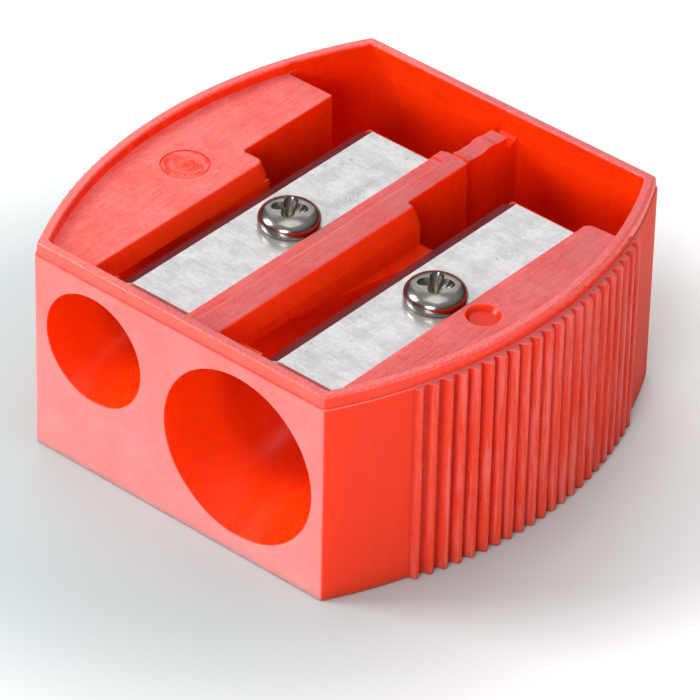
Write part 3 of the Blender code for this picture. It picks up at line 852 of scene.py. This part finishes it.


# Nickel plate on a screw head: rings from polishing about its axis, hairlines, specks of grime, and painted
# shade down in the recess
def makeNickel(size):
    material, tree, shader, place = newMaterial(size + "_screw_nickel", Metallic=1.0)[:4]
    axis = vectorCalc(tree, "SUBTRACT", place, (edgeX[size] + screwFromEdge, screwY, 0.0))
    parts = addNode(tree, "ShaderNodeSeparateXYZ")
    tree.links.new(axis, parts.inputs[0])
    flat = addNode(tree, "ShaderNodeCombineXYZ")
    tree.links.new(parts.outputs[0], flat.inputs[0])
    tree.links.new(parts.outputs[1], flat.inputs[1])
    radius = lengthOf(tree, flat.outputs[0])
    ringPlace = addNode(tree, "ShaderNodeCombineXYZ")
    tree.links.new(radius, ringPlace.inputs[0])
    tree.links.new(parts.outputs[2], ringPlace.inputs[1])
    rings = useGroup(tree, streaks, Place=ringPlace.outputs[0], Squeeze=(1, 1, 1), Scale=6.0,
                     Low=0.35, High=0.65)
    mottle = useGroup(tree, clouds, Place=place, Scale=1.3, Low=0.38, High=0.62)
    cuts = useGroup(tree, scratches, Place=place, Scale=1.1, Width=0.014)
    dots = useGroup(tree, specks, Place=place, Scale=2.2, Size=0.12, Share=0.1)
    # Painted shade down in the cross recess
    inRecess = times(tree, ramped(tree, radius, 1.0, 1.3, 1.0, 0.0),
                    ramped(tree, parts.outputs[2], bladeTop + 0.55, bladeTop + 1.15, 1.0, 0.0))

    wear = plus(tree, times(tree, mottle, 0.4), times(tree, rings, 0.35))
    colour = mixed(tree, wear, nickelLook["polished"], nickelLook["worn"])
    dirt = larger(tree, times(tree, inRecess, 0.75), times(tree, dots, 0.6))
    tree.links.new(mixed(tree, dirt, colour, nickelLook["grimeAndShade"]), shader.inputs["Base Color"])
    rough = plus(tree, times(tree, wear, 0.10), times(tree, cuts, 0.15))
    rough = plus(tree, rough, times(tree, inRecess, 0.12))
    tree.links.new(plus(tree, rough, 0.17), shader.inputs["Roughness"])
    addBump(tree, shader, minus(tree, times(tree, rings, 0.5), cuts), 0.003, 0.5)
    return material


# Give a piece its material, and say which imported node it stands for and what it rides on
def dress(made, material, node, rider):
    made.data.materials.clear()
    made.data.materials.append(material)
    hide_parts(node)
    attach(made, rider)


plastic, steel = makePlastic(), makeSteel()
dress(makeBody(), plastic, "body", "housing")
print("body made")
for size in ("standard", "jumbo"):
    dress(makeBlade(size), steel, size + "_blade", size + "_blade")
    dress(makeScrew(size), makeNickel(size), size + "_blade_screw", size + "_screw")
print("blades and screws made")


floorLook = {"far": (0.97, 0.97, 0.97, 1), "paintedShadow": (0.475, 0.578, 0.585, 1), "roughness": 0.5,
             "half": 3000.0, "fromMiddle": (5.0, 8.0, 0.0), "nearTo": 17.0, "farFrom": 42.0, "drop": 0.00002}


# Floor: white, with a painted shadow close to the object, darker and cooler there, its cool tint set against
# the red the plastic throws
def makeFloor():
    half = floorLook["half"]
    floor = meshObject("floor", [(-half, -half, 0), (half, -half, 0), (half, half, 0), (-half, half, 0)],
                       [[0, 1, 2, 3]])
    material, tree, shader, place = newMaterial("floor_white", Roughness=floorLook["roughness"])[:4]
    aside = lengthOf(tree, vectorCalc(tree, "ADD", place, floorLook["fromMiddle"]))
    # Painted shadow round the object, its middle set off towards the front left
    shadowPool = ramped(tree, aside, floorLook["nearTo"], floorLook["farFrom"], 1.0, 0.0)
    tree.links.new(mixed(tree, shadowPool, floorLook["far"], floorLook["paintedShadow"]), shader.inputs["Base Color"])
    floor.data.materials.append(material)
    floor.location.z = -floorLook["drop"]


# Flat light of a given brightness: its power is the brightness times pi times its area
def addLight(name, place, aim, size, brightness):
    light = bpy.data.lights.new(name, "AREA")
    light.shape, light.size, light.size_y = "RECTANGLE", size[0], size[1]
    light.energy = brightness * math.pi * size[0] * size[1]
    made = bpy.data.objects.new(name, light)
    bpy.context.collection.objects.link(made)
    made.location = place
    made.rotation_mode = "QUATERNION"
    made.rotation_quaternion = (Vector(aim) - Vector(place)).to_track_quat("-Z", "Y")
    made.visible_camera = False


# Greys of the room by how far up a direction points, the first and the last at the ramp's own ends
worldLook = {"low": 0.03, "steps": ((0.22, 0.10), (0.6, 0.5)), "high": 0.8, "strength": 0.8}


# Room round the stage: dark at the horizon, pale overhead
def makeWorld():
    world = bpy.data.worlds.new("studio")
    bpy.context.scene.world = world
    world.use_nodes = True
    tree = world.node_tree
    place = addNode(tree, "ShaderNodeTexCoord")
    split = addNode(tree, "ShaderNodeSeparateXYZ")
    ramp = addNode(tree, "ShaderNodeValToRGB")
    tree.links.new(place.outputs["Generated"], split.inputs[0])
    tree.links.new(split.outputs["Z"], ramp.inputs[0])
    for position, grey in worldLook["steps"]:
        ramp.color_ramp.elements.new(position).color = (grey, grey, grey, 1)
    ramp.color_ramp.elements[0].color = (*[worldLook["low"]] * 3, 1)
    ramp.color_ramp.elements[-1].color = (*[worldLook["high"]] * 3, 1)
    tree.links.new(ramp.outputs[0], tree.nodes["Background"].inputs["Color"])
    tree.nodes["Background"].inputs["Strength"].default_value = worldLook["strength"]


# Camera: its three axes come from its azimuth, elevation and roll, and it stands off from the body's middle
cameraView = {"azimuth": 40.10, "elevation": 36.32, "roll": 1.497, "distance": 341.1, "lens": 276.8,
              "target": (0.0, -4.15, 7.0), "sideways": 2.912, "upwards": -0.19}
# each light's place, what it points at, its two sides in metres and its brightness
lights = {
    "back_softbox": ((-0.47, 0.56, 0.53), (0, 0, 0), (0.95, 0.75), 0.9),
    "left_key": ((-0.62, -0.42, 0.52), (0, 0, 0.01), (0.36, 0.36), 14.0),
    "right_fill": ((0.30, -0.74, 0.32), (0, 0, 0.01), (0.30, 0.30), 14.5),
    "overhead": ((0.05, 0.0, 0.9), (0, 0, 0), (0.60, 0.60), 1.5),
}


def makeCamera():
    azimuth, elevation, roll = (math.radians(cameraView[k]) for k in ("azimuth", "elevation", "roll"))
    behind = np.array([math.sin(azimuth) * math.cos(elevation), -math.cos(azimuth) * math.cos(elevation),
                       math.sin(elevation)])
    level = np.array([math.cos(azimuth), math.sin(azimuth), 0.0])
    above = np.cross(behind, level)
    right = level * math.cos(roll) + above * math.sin(roll)
    up = above * math.cos(roll) - level * math.sin(roll)
    place = np.array(cameraView["target"]) + behind * cameraView["distance"]
    place += right * cameraView["sideways"] + up * cameraView["upwards"]
    data = bpy.data.cameras.new("camera")
    data.lens, data.sensor_width, data.clip_start, data.clip_end = cameraView["lens"], 36.0, 0.01, 20.0
    camera = bpy.data.objects.new("camera", data)
    bpy.context.collection.objects.link(camera)
    matrix = np.eye(4)
    matrix[:3, 0], matrix[:3, 1], matrix[:3, 2], matrix[:3, 3] = right, up, behind, place * mm
    camera.matrix_world = Matrix(matrix.tolist())
    bpy.context.scene.camera = camera


makeFloor()
for name, setting in lights.items():
    addLight(name, *setting)
makeWorld()
makeCamera()
bpy.context.scene.view_settings.view_transform = "Standard"
print("stage made")
